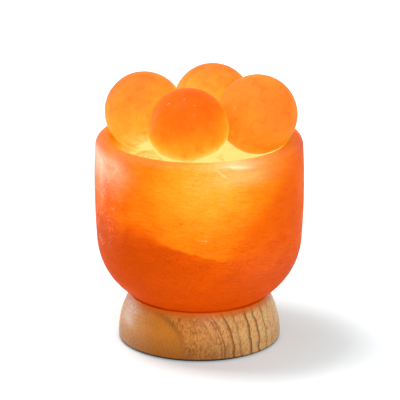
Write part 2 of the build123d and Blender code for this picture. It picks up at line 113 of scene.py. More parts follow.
class Finish:
    """A procedural material. Its patterns are placed by the part's own coordinates, in metres."""

    # The mix node has sockets for each kind of value. These are the ones for colours.
    MIX_INPUTS = {"share": 0, "first": 6, "second": 7}
    MIX_OUTPUT = 2

    def __init__(self, name, **surface):
        self.material = bpy.data.materials.new(name)
        self.material.use_nodes = True
        self.nodes = self.material.node_tree.nodes
        self.links = self.material.node_tree.links
        self.nodes.clear()
        self.surface = self.node("ShaderNodeBsdfPrincipled")
        self.node("ShaderNodeOutputMaterial", Surface=self.surface.outputs["BSDF"])
        coordinates = self.node("ShaderNodeTexCoord")
        self.place = coordinates.outputs["Object"]
        self.normal = coordinates.outputs["Normal"]
        self.set(**surface)

    def feed(self, socket, value):
        """Links a socket to another's output, or sets its own value."""
        if isinstance(value, bpy.types.NodeSocket):
            self.links.new(value, socket)
        elif socket.type == "RGBA":
            socket.default_value = (*value, 1.0)
        else:
            socket.default_value = value

    def node(self, kind, settings=None, **inputs):
        """A new node. Its inputs are given by name, with _ for a space."""
        made = self.nodes.new(kind)
        for name, value in (settings or {}).items():
            setattr(made, name, value)
        for name, value in inputs.items():
            self.feed(made.inputs[name.replace("_", " ")], value)
        return made

    def set(self, **inputs):
        """Gives the surface's shader its inputs."""
        for name, value in inputs.items():
            self.feed(self.surface.inputs[name.replace("_", " ")], value)

    def math(self, operation, *values, clamp=False):
        made = self.node("ShaderNodeMath", {"operation": operation, "use_clamp": clamp})
        for socket, value in zip(made.inputs, values):
            self.feed(socket, value)
        return made.outputs[0]

    def add(self, first, *others, clamp=False):
        total = first
        for other in others:
            total = self.math("ADD", total, other, clamp=clamp)
        return total

    def times(self, first, *others):
        total = first
        for other in others:
            total = self.math("MULTIPLY", total, other)
        return total

    def squared(self, value):
        return self.math("MULTIPLY", value, value)

    def less(self, value):
        """What a share leaves of 1."""
        return self.math("SUBTRACT", 1.0, value)

    def vector(self, operation, *values):
        made = self.node("ShaderNodeVectorMath", {"operation": operation})
        for socket, value in zip(made.inputs, values):
            self.feed(socket, value)
        scalar = operation in ("DOT_PRODUCT", "LENGTH", "DISTANCE")
        return made.outputs["Value" if scalar else "Vector"]

    def axes(self):
        """The place's x, y and z."""
        return self.node("ShaderNodeSeparateXYZ", Vector=self.place).outputs

    def rise(self):
        """1 where the surface faces up, -1 where it faces down."""
        return self.node("ShaderNodeSeparateXYZ", Vector=self.normal).outputs["Z"]

    def spread(self, value, low, high, start=0.0, end=1.0, smooth=True):
        """Maps low..high to start..end, and stays at either end outside."""
        made = self.node(
            "ShaderNodeMapRange",
            {"interpolation_type": "SMOOTHSTEP" if smooth else "LINEAR"},
            Value=value,
            From_Min=low,
            From_Max=high,
            To_Min=start,
            To_Max=end,
        )
        return made.outputs["Result"]

    def noise(
        self, size, detail=2.0, roughness=0.5, stretch=(1, 1, 1), shift=0.0, warp=0.0, place=None
    ):
        """Noise around 0, from -1 to 1 at most, with features of about a size in metres."""
        scale = tuple(s / size for s in stretch)
        where = self.vector("MULTIPLY", place or self.place, scale)
        where = self.vector("ADD", where, (shift, shift * 0.7, -shift))
        made = self.node(
            "ShaderNodeTexNoise",
            Vector=where,
            Scale=1.0,
            Detail=detail,
            Roughness=roughness,
            Distortion=warp,
        )
        return self.spread(made.outputs["Fac"], 0.2, 0.8, -1.0, 1.0, smooth=False)

    def ramp(self, value, *stops):
        """A colour for each value from 0 to 1; stops are (value, colour)."""
        made = self.node("ShaderNodeValToRGB", Fac=value)
        elements = made.color_ramp.elements
        while len(elements) < len(stops):
            elements.new(1.0)
        for element, (place, colour) in zip(elements, stops):
            element.position = place
            element.color = (*colour, 1.0)
        return made.outputs["Color"]

    def mix(self, share, first, second):
        """The first colour, with a share of the second."""
        made = self.node("ShaderNodeMix", {"data_type": "RGBA"})
        self.feed(made.inputs[self.MIX_INPUTS["share"]], share)
        self.feed(made.inputs[self.MIX_INPUTS["first"]], first)
        self.feed(made.inputs[self.MIX_INPUTS["second"]], second)
        return made.outputs[self.MIX_OUTPUT]

    def bump(self, height):
        """The surface's normal for a relief whose height is in metres."""
        return self.node("ShaderNodeBump", Height=height, Distance=1.0, Strength=1.0).outputs["Normal"]


def seen_directly(tree):
    """1 for rays from the camera, and for those that gloss and glass send on."""
    path = tree.nodes.new("ShaderNodeLightPath")
    total = path.outputs["Is Camera Ray"]
    for kind in ("Is Glossy Ray", "Is Transmission Ray"):
        largest = tree.nodes.new("ShaderNodeMath")
        largest.operation = "MAXIMUM"
        tree.links.new(total, largest.inputs[0])
        tree.links.new(path.outputs[kind], largest.inputs[1])
        total = largest.outputs[0]
    return total


# ---- Salt --------------------------------------------------------------------------------
# What the salt gives off where little and where much light comes through it, on top of
# what it reflects.
SALT_GLOW = (
    (0.00, tone(110, 8, 0)),
    (0.20, tone(146, 32, 0)),
    (0.35, tone(176, 54, 0)),
    (0.50, tone(202, 88, 2)),
    (0.65, tone(212, 124, 14)),
    (0.80, tone(216, 160, 38)),
    (0.92, tone(222, 190, 80)),
    (1.00, tone(242, 230, 130)),
)
# Pale salt: the colour of frost, and of the painted highlights, glints and sheen.
FROST_AND_SHEEN_COLOUR = tone(255, 228, 210)
SALT_ROUGHNESS = (-1.0, 1.0, 0.43, 0.57)
INDIRECT_GLOW = 0.03  # how much of the glow lights what is around the salt
BOWL_COLOUR = tone(190, 78, 2)
BOWL_GLOSS = 0.02
BOWL_INDIRECT = (38 * MM, 52 * MM, 0.10, INDIRECT_GLOW)  # the haunch lights the base
INNER_WALL = (-0.55, 0.35)  # how far the salt faces the bulb

# The bowl was cut across layers. A darker one lies below a slanting face, which levels out
# on the left, and a denser one beyond a steep face on the right. Heights and widths that
# are called uneven go with the patterns in the salt.
LAYER_HEIGHT = 90.5 * MM
LAYER_SLOPE = 0.25
LEVEL_X = -40 * MM
UNEVEN_LAYER = 1.5 * MM
DENSE_FOOT = (35 * MM, 103 * MM)  # x, z
DENSE_SLOPE = 0.81
DENSE_BLUR = 9 * MM
UNEVEN_DENSE = 4 * MM
# Half the height over which one layer passes into the other: the two add up across x.
BLUR_LEFT = (-20 * MM, -48 * MM, 0.0, 13 * MM)
BLUR_RIGHT = (18 * MM, 56 * MM, 1.3 * MM, 9 * MM)

# The glow up the clear layer and up the dark one, which is brighter to the right but dims
# again at its end, and brighter just under the slanting face.
CLEAR_GLOW = (80 * MM, 155 * MM, 0.46, 0.50)
DENSE_GLOW = -0.08  # beyond the steep face
DARK_GLOW = (36 * MM, 90 * MM, 0.20, 0.22)
DARK_GLOW_ACROSS = (-45 * MM, 40 * MM, 0.0, 0.10)
DARK_GLOW_END = (44 * MM, 70 * MM, 0.0, -0.05)
UNDER_FACE_GLOW = (-16 * MM, 0.0, 0.0, 0.06)
UNDER_FACE_ACROSS = (-32 * MM, -12 * MM)
# The inner wall is brightest low down, beside the bulb, and dims towards the lip.
INNER_GLOW = (132 * MM, 156 * MM, 0.98, 0.68)
INNER_GLOW_ACROSS = (-55 * MM, 20 * MM, -0.03, 0.03)
# Places where the salt is clearer: centre and reach in millimetres, and gain.
CLEAR_POOLS = (
    ((14, -76, 158), 46, 0.30),
    ((-8, -76, 124), 40, 0.13),
    ((-62, 46, 142), 42, 0.28),
    ((64, 42, 126), 40, 0.26),
    ((4, 78, 118), 36, 0.22),
    ((-54, -36, 160), 20, 0.08),
)

# What the patterns in the bowl's salt add to its glow. A pit starts where its pattern passes
# the first of two values, and is deep at the second.
BROAD_GLOW = 0.04
CLOUDY_GLOW = 0.05
FINE_GLOW = 0.035
STROKE_GLOW = (4 * MM, 26 * MM, 0.08, 0.035)  # away from the slanting face
STREAK_GLOW = (0.0, 1.0, 0.016, 0.035)  # from the dark layer to the clear one
PIT_GLOW = (0.0, 1.0, -0.035, -0.16)  # from smooth salt to worn salt
PITS = (0.30, 0.62)
DARK_SPECK_GLOW = -0.18
# The bowl's relief, in metres.
FINE_RELIEF = 0.12 * MM
TURNED_RELIEF = 0.10 * MM
PIT_RELIEF = -0.32 * MM

# The lip's two ends glow dimmer, and have a little painted sheen.
LIP_END_X = (68 * MM, 76 * MM)
LIP_END_Z = (146 * MM, 154 * MM)
LIP_END_GLOW = -0.12
LIP_END_SHEEN = 0.07
# The left side is worn, in clusters.
WORN_X = (-54 * MM, -72 * MM)
WORN_Z = (62 * MM, 100 * MM)
WORN_TOP = (150 * MM, 158 * MM, 1.0, 0.0)
WORN_CLUSTERS = (-0.2, 0.6, 0.2, 1.0)
# Painted sheen on the lip's shoulder as it turns up, and a painted highlight high on the left.
SHOULDER_SHEEN = (0.12, 0.75, 0.0, 0.05)
HIGH_LEFT_X = (-48 * MM, -73 * MM)
HIGH_LEFT_HIGHLIGHT = (118 * MM, 147 * MM, 0.0, 0.46)
HIGH_LEFT_TOP = (152 * MM, 158 * MM, 1.0, 0.0)
HIGH_LEFT_CLOUDS = (-0.6, 0.6, 0.5, 1.2)
# Painted glints in specks where the salt is worn, and frost in level scratches and broken up in the chips.
SPECK_GLINTS = (0.05, 0.65, 0.0, 0.8)
SCRATCH_FROST = (0.25, 0.70, 0.0, 0.16)
CHIP_FROST = (-0.5, 0.5, 0.25, 1.15)
SCRATCHED_POOL = ((20, -76, 124), 30, 1.0)  # where the scratches are, as the clear pools

# Marks on the front: centre (x, z), half length and half height in millimetres, fall to the
# right, and strength. First the painted highlights and a pale haze, then the pale chips, and
# one dark speck.
FRONT_HIGHLIGHTS_AND_HAZE = (
    ((26, 158.0), (18, 3.6), 0.06, 0.30),
    ((29, 156.0), (9, 1.1), 0.12, 0.45),
    ((33, 149.0), (20, 6.5), 0.0, 0.22),
    ((52, 72.0), (24, 18.0), 0.0, 0.025),
    ((-73, 146.0), (3.5, 8.0), 0.0, 0.40),
    ((-62, 151.0), (6, 5.0), 0.0, 0.22),
    ((-56, 146.0), (9, 9.0), 0.0, 0.09),
    ((-73, 126.0), (3, 14.0), 0.0, 0.13),
)
FRONT_CHIPS = (
    ((15.5, 152.8), (1.8, 0.9), 0.8, 0.60),
    ((18.6, 150.6), (1.6, 0.8), 0.6, 0.45),
    ((23.5, 152.6), (1.4, 0.6), 0.3, 0.25),
    ((4.2, 101.7), (2.2, 0.45), 0.1, 0.45),
)
DARK_SPECK = ((-13.4, 114.5), (1.3, 1.0), 0.0, 1.0)
FRONT_ONLY = (0.0, -20 * MM)  # y

BALL_COLOUR = tone(206, 90, 16)
BALL_GLOSS = 0.04
# What the patterns in a ball's salt add to its glow, and its relief in metres.
BALL_CLOUDY_GLOW = 0.08
BALL_MOTTLED_GLOW = -0.06
BALL_MOTTLES = (0.0, 0.6)
BALL_FINE_GLOW = 0.03
BALL_FINE_RELIEF = 0.08 * MM
BALL_MOTTLED_RELIEF = -0.05 * MM
BALL_FROST_PATCHES = (0.60, 0.85)
BALL_FROST = 0.3
BALL_LIT_PAST = 0.3  # how far round its side the bulb's nearness still shows
# Each ball's place, how clear it is, how fast light fades across it, how much brighter it
# is beside the bulb, how frosted it is all over, and the start of its own pattern.
SALT_BALLS = (
    ("left", 0.76, 0.24, 0.08, 0.03, 1.0),
    ("back", 0.79, 0.27, 0.10, 0.03, 11.0),
    ("right", 0.63, 0.06, 0.04, 0.03, 21.0),
    ("front", 0.78, 0.40, 0.62, 0.00, 31.0),
)


def facing_bulb(finish):
    """1 where the salt faces the bulb, -1 where it faces away."""
    towards = finish.vector("NORMALIZE", finish.vector("SUBTRACT", tuple(BULB_CENTRE), finish.place))
    return finish.vector("DOT_PRODUCT", towards, finish.normal)


def past_bulb(finish, centre):
    """1 on the side of a ball that the bulb lights, -1 on the other side."""
    return finish.vector("DOT_PRODUCT", finish.normal, tuple((BULB_CENTRE - centre).normalized()))


def bell(finish, squared):
    """1 at the middle of a soft round patch, falling to 0 around it."""
    return finish.math("EXPONENT", finish.times(squared, -1.0))


def pool(finish, centre, reach, gain):
    """A soft round patch in the salt."""
    away = finish.vector("DISTANCE", finish.place, tuple(c * MM for c in centre))
    return finish.times(bell(finish, finish.squared(finish.times(away, 1 / (reach * MM)))), gain)


def front_mark(finish, centre, half, fall, strength):
    """A soft long patch on the front."""
    x, y, z = finish.axes()
    along = finish.math("SUBTRACT", x, centre[0] * MM)
    across = finish.add(z, -centre[1] * MM, finish.times(along, fall))
    long, tall = (finish.squared(finish.times(d, 1 / (h * MM))) for d, h in zip((along, across), half))
    return finish.times(bell(finish, finish.add(long, tall)), finish.spread(y, *FRONT_ONLY, 0.0, strength))


def salt_surface(finish, colour, pale_share, glow, indirect, relief, gloss):
    """The glow, the frosted places and painted highlights, the waxy gloss and the fine relief that all the
    salt shares.
    """
    seen = seen_directly(finish.material.node_tree)
    finish.set(
        Base_Color=finish.mix(pale_share, colour, FROST_AND_SHEEN_COLOUR),
        Emission_Color=finish.ramp(glow, *SALT_GLOW),
        Emission_Strength=finish.math("MAXIMUM", seen, indirect),
        Roughness=finish.spread(finish.noise(9 * MM, detail=3), *SALT_ROUGHNESS),
        Specular_IOR_Level=gloss,
        Normal=finish.bump(relief),
    )


def bowl_patterns(finish):
    """The patterns in the bowl's salt that its glow, its frost and its relief share."""
    return SimpleNamespace(
        broad=finish.noise(50 * MM, detail=2, shift=3.1),
        cloudy=finish.noise(15 * MM, detail=4, stretch=(1, 1, 1.6), shift=7.7, warp=0.4),
        fine=finish.noise(2.6 * MM, detail=4, stretch=(1, 1, 1.8), shift=1.3),
        streaks=finish.noise(14 * MM, detail=4, stretch=(1, 1, 11), shift=5.0),
        pits=finish.spread(finish.noise(1.7 * MM, detail=2, shift=8.8), *PITS),
    )


def slanting_height(finish, salt):
    """Height above the slanting face."""
    x, _, z = finish.axes()
    level = finish.times(finish.math("MAXIMUM", x, LEVEL_X), LAYER_SLOPE)
    uneven = (finish.times(pattern, UNEVEN_LAYER) for pattern in (salt.broad, salt.cloudy))
    return finish.add(z, level, -LAYER_HEIGHT, *uneven)


def clear_layer(finish, slant):
    """1 in the clear layer, 0 in the dark one below it."""
    x = finish.axes()["X"]
    blur = finish.add(finish.spread(x, *BLUR_LEFT), finish.spread(x, *BLUR_RIGHT))
    return finish.spread(finish.math("DIVIDE", slant, blur), -1.0, 1.0)


def dense_layer(finish, salt):
    """1 beyond the steep face on the right."""
    x, _, z = finish.axes()
    rise = finish.times(finish.add(z, -DENSE_FOOT[1]), DENSE_SLOPE)
    past = finish.math("SUBTRACT", finish.add(x, -DENSE_FOOT[0]), rise)
    return finish.spread(finish.add(past, finish.times(salt.cloudy, UNEVEN_DENSE)), -DENSE_BLUR, DENSE_BLUR)


def outer_glow(finish, salt, slant, clear):
    """The glow of the outer wall, in its clear layer and in the dark one."""
    x, _, z = finish.axes()
    upper = finish.add(
        finish.spread(z, *CLEAR_GLOW),
        *(pool(finish, *row) for row in CLEAR_POOLS),
        finish.times(dense_layer(finish, salt), DENSE_GLOW),
    )
    lower = finish.add(
        finish.spread(z, *DARK_GLOW),
        finish.spread(x, *DARK_GLOW_ACROSS),
        finish.spread(x, *DARK_GLOW_END),
        finish.times(finish.spread(slant, *UNDER_FACE_GLOW), finish.spread(x, *UNDER_FACE_ACROSS)),
    )
    return finish.add(finish.times(upper, clear), finish.times(lower, finish.less(clear)))


def inner_glow(finish):
    """The glow of the inner wall."""
    x, _, z = finish.axes()
    return finish.add(finish.spread(z, *INNER_GLOW), finish.spread(x, *INNER_GLOW_ACROSS))


def strokes(finish, slant):
    """Strokes along the layers, strongest beside the slanting face."""
    x, y, _ = finish.axes()
    bedded = finish.node("ShaderNodeCombineXYZ", X=x, Y=y, Z=slant).outputs[0]
    drawn = finish.noise(11 * MM, detail=4, stretch=(1, 1, 9), shift=2.7, place=bedded)
    return finish.times(drawn, finish.spread(finish.math("ABSOLUTE", slant), *STROKE_GLOW))


def lip_ends(finish):
    """1 at the lip's left and right ends."""
    x, _, z = finish.axes()
    return finish.times(
        finish.spread(finish.math("ABSOLUTE", x), *LIP_END_X),
        finish.spread(z, *LIP_END_Z),
    )


def worn_side(finish):
    """1 where the left side is worn."""
    x, _, z = finish.axes()
    return finish.times(
        finish.spread(x, *WORN_X),
        finish.spread(z, *WORN_Z),
        finish.spread(z, *WORN_TOP),
        finish.spread(finish.noise(8 * MM, detail=3, shift=2.2), *WORN_CLUSTERS),
    )


def bowl_glow(finish, salt, inner, ends, worn):
    """How much light the bowl gives off, from 0 to 1."""
    slant = slanting_height(finish, salt)
    clear = clear_layer(finish, slant)
    return finish.add(
        finish.times(outer_glow(finish, salt, slant, clear), finish.less(inner)),
        finish.times(inner_glow(finish), inner),
        finish.times(salt.broad, BROAD_GLOW),
        finish.times(salt.cloudy, CLOUDY_GLOW),
        strokes(finish, slant),
        finish.times(salt.streaks, finish.spread(clear, *STREAK_GLOW)),
        finish.times(salt.fine, FINE_GLOW),
        finish.times(salt.pits, finish.spread(worn, *PIT_GLOW)),
        finish.times(front_mark(finish, *DARK_SPECK), DARK_SPECK_GLOW),
        finish.times(ends, LIP_END_GLOW),
    )


def high_left(finish, salt):
    """The painted highlight high on the left."""
    x, _, z = finish.axes()
    return finish.times(
        finish.spread(x, *HIGH_LEFT_X),
        finish.spread(z, *HIGH_LEFT_HIGHLIGHT),
        finish.spread(z, *HIGH_LEFT_TOP),
        finish.spread(salt.cloudy, *HIGH_LEFT_CLOUDS),
    )


def bowl_frost_and_sheen(finish, salt, inner, ends, worn):
    """How much of the pale colour the bowl's surface takes, from 0 to 1: frost, and painted highlights,
    glints and sheen.
    """
    outer = finish.less(inner)
    specks = finish.noise(1.1 * MM, detail=4, stretch=(1, 1, 0.6), shift=6.1)
    scratches = finish.noise(7 * MM, detail=4, stretch=(1, 1, 26), shift=9.4)
    chipped = finish.spread(finish.noise(1.4 * MM, detail=3, shift=4.4), *CHIP_FROST)
    return finish.add(
        finish.times(finish.spread(finish.rise(), *SHOULDER_SHEEN), outer),
        finish.times(ends, LIP_END_SHEEN),
        finish.times(high_left(finish, salt), outer),
        finish.times(finish.spread(specks, *SPECK_GLINTS), worn),
        finish.times(finish.spread(scratches, *SCRATCH_FROST), pool(finish, *SCRATCHED_POOL)),
        *(front_mark(finish, *front_patch) for front_patch in FRONT_HIGHLIGHTS_AND_HAZE),
        *(finish.times(front_mark(finish, *chip), chipped) for chip in FRONT_CHIPS),
        clamp=True,
    )


def bowl_relief(finish, salt):
    """Fine grain, turning marks and pits, as a height in metres."""
    turned = finish.noise(9 * MM, detail=5, stretch=(1, 1, 14), shift=4.0)
    return finish.add(
        finish.times(salt.fine, FINE_RELIEF),
        finish.times(turned, TURNED_RELIEF),
        finish.times(salt.pits, PIT_RELIEF),
    )


def bowl_finish():
    """Light comes through the bowl by its layers, and falls straight on its inner wall."""
    finish = Finish("salt_bowl_lit")
    salt = bowl_patterns(finish)
    inner = finish.spread(facing_bulb(finish), *INNER_WALL)
    ends = lip_ends(finish)
    worn = worn_side(finish)
    glow = bowl_glow(finish, salt, inner, ends, worn)
    pale_share = bowl_frost_and_sheen(finish, salt, inner, ends, worn)
    indirect = finish.spread(finish.axes()["Z"], *BOWL_INDIRECT)
    salt_surface(finish, BOWL_COLOUR, pale_share, glow, indirect, bowl_relief(finish, salt), BOWL_GLOSS)
    return finish.material


def ball_finish(side, centre, clarity, fade, lift, veil, shift):
    """Light enters a ball on the bulb's side and fades on its way across."""
    finish = Finish("salt_ball_lit_" + side)
    cloudy = finish.noise(18 * MM, detail=4, shift=shift)
    mottled = finish.spread(finish.noise(9 * MM, detail=3, shift=shift + 4, warp=0.6), *BALL_MOTTLES)
    fine = finish.noise(2.4 * MM, detail=3, shift=shift + 2)
    patches = finish.noise(5 * MM, detail=4, shift=shift + 6)
    facing = past_bulb(finish, centre)
    beside = finish.math("MAXIMUM", finish.add(facing, BALL_LIT_PAST), 0.0)
    glow = finish.add(
        clarity,
        finish.times(facing, fade),
        finish.times(finish.squared(beside), lift),
        finish.times(cloudy, BALL_CLOUDY_GLOW),
        finish.times(mottled, BALL_MOTTLED_GLOW),
        finish.times(fine, BALL_FINE_GLOW),
    )
    pale_share = finish.spread(patches, *BALL_FROST_PATCHES, veil, BALL_FROST)
    relief = finish.add(
        finish.times(fine, BALL_FINE_RELIEF),
        finish.times(mottled, BALL_MOTTLED_RELIEF),
    )
    salt_surface(finish, BALL_COLOUR, pale_share, glow, INDIRECT_GLOW, relief, BALL_GLOSS)
    return finish.material


# ---- Wood --------------------------------------------------------------------------------
# The growth rings run about a line along Y, seen end on from the front. Each darker line
# has its radius in millimetres, how far it shades inward, and how dark it is.
RING_CENTRE = (-26 * MM, 5 * MM)  # x, z
GROWTH_LINES = (
    (38.0, 2.0, 0.20),
    (43.4, 1.2, 0.55),
    (45.6, 1.0, 0.85),
    (53.0, 2.2, 0.95),
    (58.4, 1.6, 0.60),
    (66.4, 2.2, 1.00),
    (71.6, 1.4, 1.00),
    (76.8, 0.9, 0.80),
    (80.5, 0.6, 0.30),
    (84.0, 0.6, 0.25),
)
GROWTH_SPAN = 100.0  # millimetres, the radius where the lines' colour ramp ends
GROWTH_EDGE = 0.4  # millimetres, the line's sharp outer side
GROWTH_BREAKS = (-0.6, 0.6, 0.85, 1.0)
GROWTH_COLOUR = tone(120, 44, 0)
# The rings are bent by as much as this where the patterns in the wood are strongest.
SWEEP_BEND = 1.6 * MM
RIPPLE_BEND = 0.6 * MM

# A knot on the left: golden, with faint close rings, flecks and a darker border.
KNOT_CENTRE = (-45 * MM, 4 * MM)  # x, z
KNOT_RADIUS = 33.5 * MM
KNOT_EDGE = (KNOT_RADIUS - 3 * MM, KNOT_RADIUS + 2 * MM)
KNOT_ACROSS = (-58 * MM, -30 * MM)
KNOT_LEFT_COLOUR = tone(236, 166, 106)
KNOT_RIGHT_COLOUR = tone(222, 136, 44)
KNOT_RING_SPACING = 2.6 * MM
KNOT_RINGS = (0.0, 1.8, 0.0, 0.2)
KNOT_RING_COLOUR = tone(150, 82, 16)
KNOT_FLECKS = (0.0, 0.6, 0.0, 0.22)
KNOT_FLECK_COLOUR = tone(156, 84, 18)
BORDER_WIDTH = 2.5 * MM
BORDER_SHARE = (8 * MM, 30 * MM, 0.15, 0.45)
BORDER_COLOUR = tone(124, 62, 12)

# The figured wood elsewhere is paler to the right, and flecked.
FIGURED_ACROSS = (-15 * MM, 58 * MM)
FIGURE = (-0.5, 0.5)
RIPPLE_IN_FIGURE = 0.6
PALE_LEFT_COLOUR = tone(236, 154, 72)
PALE_RIGHT_COLOUR = tone(255, 213, 144)
DEEP_LEFT_COLOUR = tone(210, 126, 50)
DEEP_RIGHT_COLOUR = tone(255, 190, 118)
FLECKS = (0.0, 0.5, 0.0)  # up to what FLECKS_ACROSS gives
FLECKS_ACROSS = (-10 * MM, 50 * MM, 0.7, 0.4)
FLECK_COLOUR = tone(158, 86, 22)

# Painted light from the salt colours the crest, and the crest glows a little: heights from the base's top.
CREST_PAINTED_LIGHT = (-6 * MM, -0.5 * MM, 0.0, 0.9)
CREST_LIT_COLOUR = tone(222, 104, 4)
CREST_LIGHT = (-3 * MM, 0.0, 0.0, 0.16)
CREST_LIGHT_COLOUR = tone(214, 96, 0)
# Painted shade darkens the foot, a contact shadow at its edge and a broader shade above it, least on the
# right: heights from its underside.
FOOT_CONTACT_SHADE = (0.7 * MM, 2.2 * MM, 0.70, 0.0)
FOOT_SHADE = (2 * MM, 22 * MM, 0.38, 0.0)
FOOT_SHADE_ACROSS = (15 * MM, 45 * MM, 1.0, 0.3)
FOOT_SHADE_COLOUR = tone(60, 28, 8)
# A painted highlight makes the left shoulder pale, a smooth place and a speckled one above it.
# They are given as the salt's front marks are.
WOOD_SHEEN = ((-54, 22), (4.5, 5), 0.0, 0.55)
WOOD_SPECKLED_SHEEN = ((-52, 30), (6, 5), 0.0, 0.50)
SPECKLE_GRAIN = (-0.3, 0.3, 0.3, 1.3)
SHEEN_COLOUR = tone(255, 236, 220)
WOOD_ROUGHNESS = (-1.0, 1.0, 0.28, 0.42)
WOOD_GLOSS = 0.15
PORE_RELIEF = 0.03 * MM
LINE_RELIEF = -0.05 * MM


def ring_distance(finish, centre, bend):
    """Distance from a line along Y, bent by noise."""
    x, _, z = finish.axes()
    across = finish.squared(finish.add(x, -centre[0]))
    up = finish.squared(finish.add(z, -centre[1]))
    return finish.add(finish.math("SQRT", finish.add(across, up)), bend)


def growth_stops():
    """The lines as a ramp: each one darkens slowly outwards and ends sharply."""
    stops = [(0.0, (0, 0, 0))]
    for radius, reach, dark in GROWTH_LINES:
        for place, value in ((radius - reach, 0.0), (radius, dark), (radius + GROWTH_EDGE, 0.0)):
            stops.append((place / GROWTH_SPAN, (value,) * 3))
    return stops


def wood_patterns(finish):
    """The patterns in the wood that its colours, its lines and its relief share."""
    return SimpleNamespace(
        sweep=finish.noise(34 * MM, detail=2, stretch=(1, 0.4, 1), shift=2.0),
        ripple=finish.noise(7 * MM, detail=3, stretch=(1, 0.3, 1), shift=6.0),
        figure=finish.noise(1.7 * MM, detail=4, stretch=(1, 0.5, 0.5), shift=3.0, warp=0.8),
        grain=finish.noise(1.3 * MM, detail=4, stretch=(1.1, 0.5, 0.6), shift=4.0, warp=0.5),
        pores=finish.noise(0.9 * MM, detail=3, stretch=(1, 0.2, 0.5), shift=9.0),
    )


def knot_wood(finish, wood, from_knot):
    """The knot's colour."""
    golden = finish.mix(
        finish.spread(finish.axes()["X"], *KNOT_ACROSS), KNOT_LEFT_COLOUR, KNOT_RIGHT_COLOUR
    )
    wave = finish.math("SINE", finish.times(from_knot, 2 * pi / KNOT_RING_SPACING))
    rings = finish.spread(finish.add(wave, wood.ripple, wood.grain), *KNOT_RINGS)
    ringed = finish.mix(rings, golden, KNOT_RING_COLOUR)
    return finish.mix(finish.spread(wood.figure, *KNOT_FLECKS), ringed, KNOT_FLECK_COLOUR)


def figured_wood(finish, wood):
    """The colour of the wood outside the knot."""
    x = finish.axes()["X"]
    across = finish.spread(x, *FIGURED_ACROSS)
    pale = finish.mix(across, PALE_LEFT_COLOUR, PALE_RIGHT_COLOUR)
    deep = finish.mix(across, DEEP_LEFT_COLOUR, DEEP_RIGHT_COLOUR)
    figure = finish.add(wood.figure, finish.times(wood.ripple, RIPPLE_IN_FIGURE))
    figured = finish.mix(finish.spread(figure, *FIGURE), deep, pale)
    flecks = finish.spread(wood.grain, *FLECKS, finish.spread(x, *FLECKS_ACROSS))
    return finish.mix(flecks, figured, FLECK_COLOUR)


def knot_border(finish, from_knot):
    """How much of the knot's border shows, more of it higher up."""
    away = finish.times(finish.add(from_knot, -KNOT_RADIUS), 1 / BORDER_WIDTH)
    share = finish.spread(finish.axes()["Z"], *BORDER_SHARE)
    return finish.times(bell(finish, finish.squared(away)), share)


def growth_lines(finish, wood, bend):
    """How much of the growth lines shows, broken up by the pores."""
    rings = ring_distance(finish, RING_CENTRE, bend)
    lines = finish.ramp(finish.times(rings, 1 / (GROWTH_SPAN * MM)), *growth_stops())
    return finish.times(lines, finish.spread(wood.pores, *GROWTH_BREAKS))


def wood_with_painted_light(finish, wood, grown, low, high):
    """The wood with painted light from the salt on its crest, a painted highlight on its left shoulder and
    painted shade on its foot.
    """
    x, _, z = finish.axes()
    crest_lit = finish.mix(finish.spread(z, *moved(CREST_PAINTED_LIGHT, high)), grown, CREST_LIT_COLOUR)
    speckled_sheen = finish.times(front_mark(finish, *WOOD_SPECKLED_SHEEN), finish.spread(wood.grain, *SPECKLE_GRAIN))
    sheen_share = finish.add(front_mark(finish, *WOOD_SHEEN), speckled_sheen, clamp=True)
    with_sheen = finish.mix(sheen_share, crest_lit, SHEEN_COLOUR)
    foot_shade = finish.add(
        finish.spread(z, *moved(FOOT_CONTACT_SHADE, low)),
        finish.times(finish.spread(z, *moved(FOOT_SHADE, low)), finish.spread(x, *FOOT_SHADE_ACROSS)),
    )
    return finish.mix(foot_shade, with_sheen, FOOT_SHADE_COLOUR)


def wood_finish():
    """Turned wood with a knot on its left and growth lines seen end on."""
    finish = Finish("turned_wood")
    lowest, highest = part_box("wood_base")
    wood = wood_patterns(finish)
    bend = finish.add(finish.times(wood.sweep, SWEEP_BEND), finish.times(wood.ripple, RIPPLE_BEND))
    from_knot = ring_distance(finish, KNOT_CENTRE, bend)
    past_knot = finish.spread(from_knot, *KNOT_EDGE)
    ground = finish.mix(past_knot, knot_wood(finish, wood, from_knot), figured_wood(finish, wood))
    bordered = finish.mix(knot_border(finish, from_knot), ground, BORDER_COLOUR)
    lines = finish.times(growth_lines(finish, wood, bend), past_knot)
    grown = finish.mix(lines, bordered, GROWTH_COLOUR)
    relief = finish.add(finish.times(wood.pores, PORE_RELIEF), finish.times(lines, LINE_RELIEF))
    finish.set(
        Base_Color=wood_with_painted_light(finish, wood, grown, lowest.z, highest.z),
        Emission_Color=CREST_LIGHT_COLOUR,
        Emission_Strength=finish.spread(finish.axes()["Z"], *moved(CREST_LIGHT, highest.z)),
        Roughness=finish.spread(wood.grain, *WOOD_ROUGHNESS),
        Specular_IOR_Level=WOOD_GLOSS,
        Normal=finish.bump(relief),
    )
    return finish.material


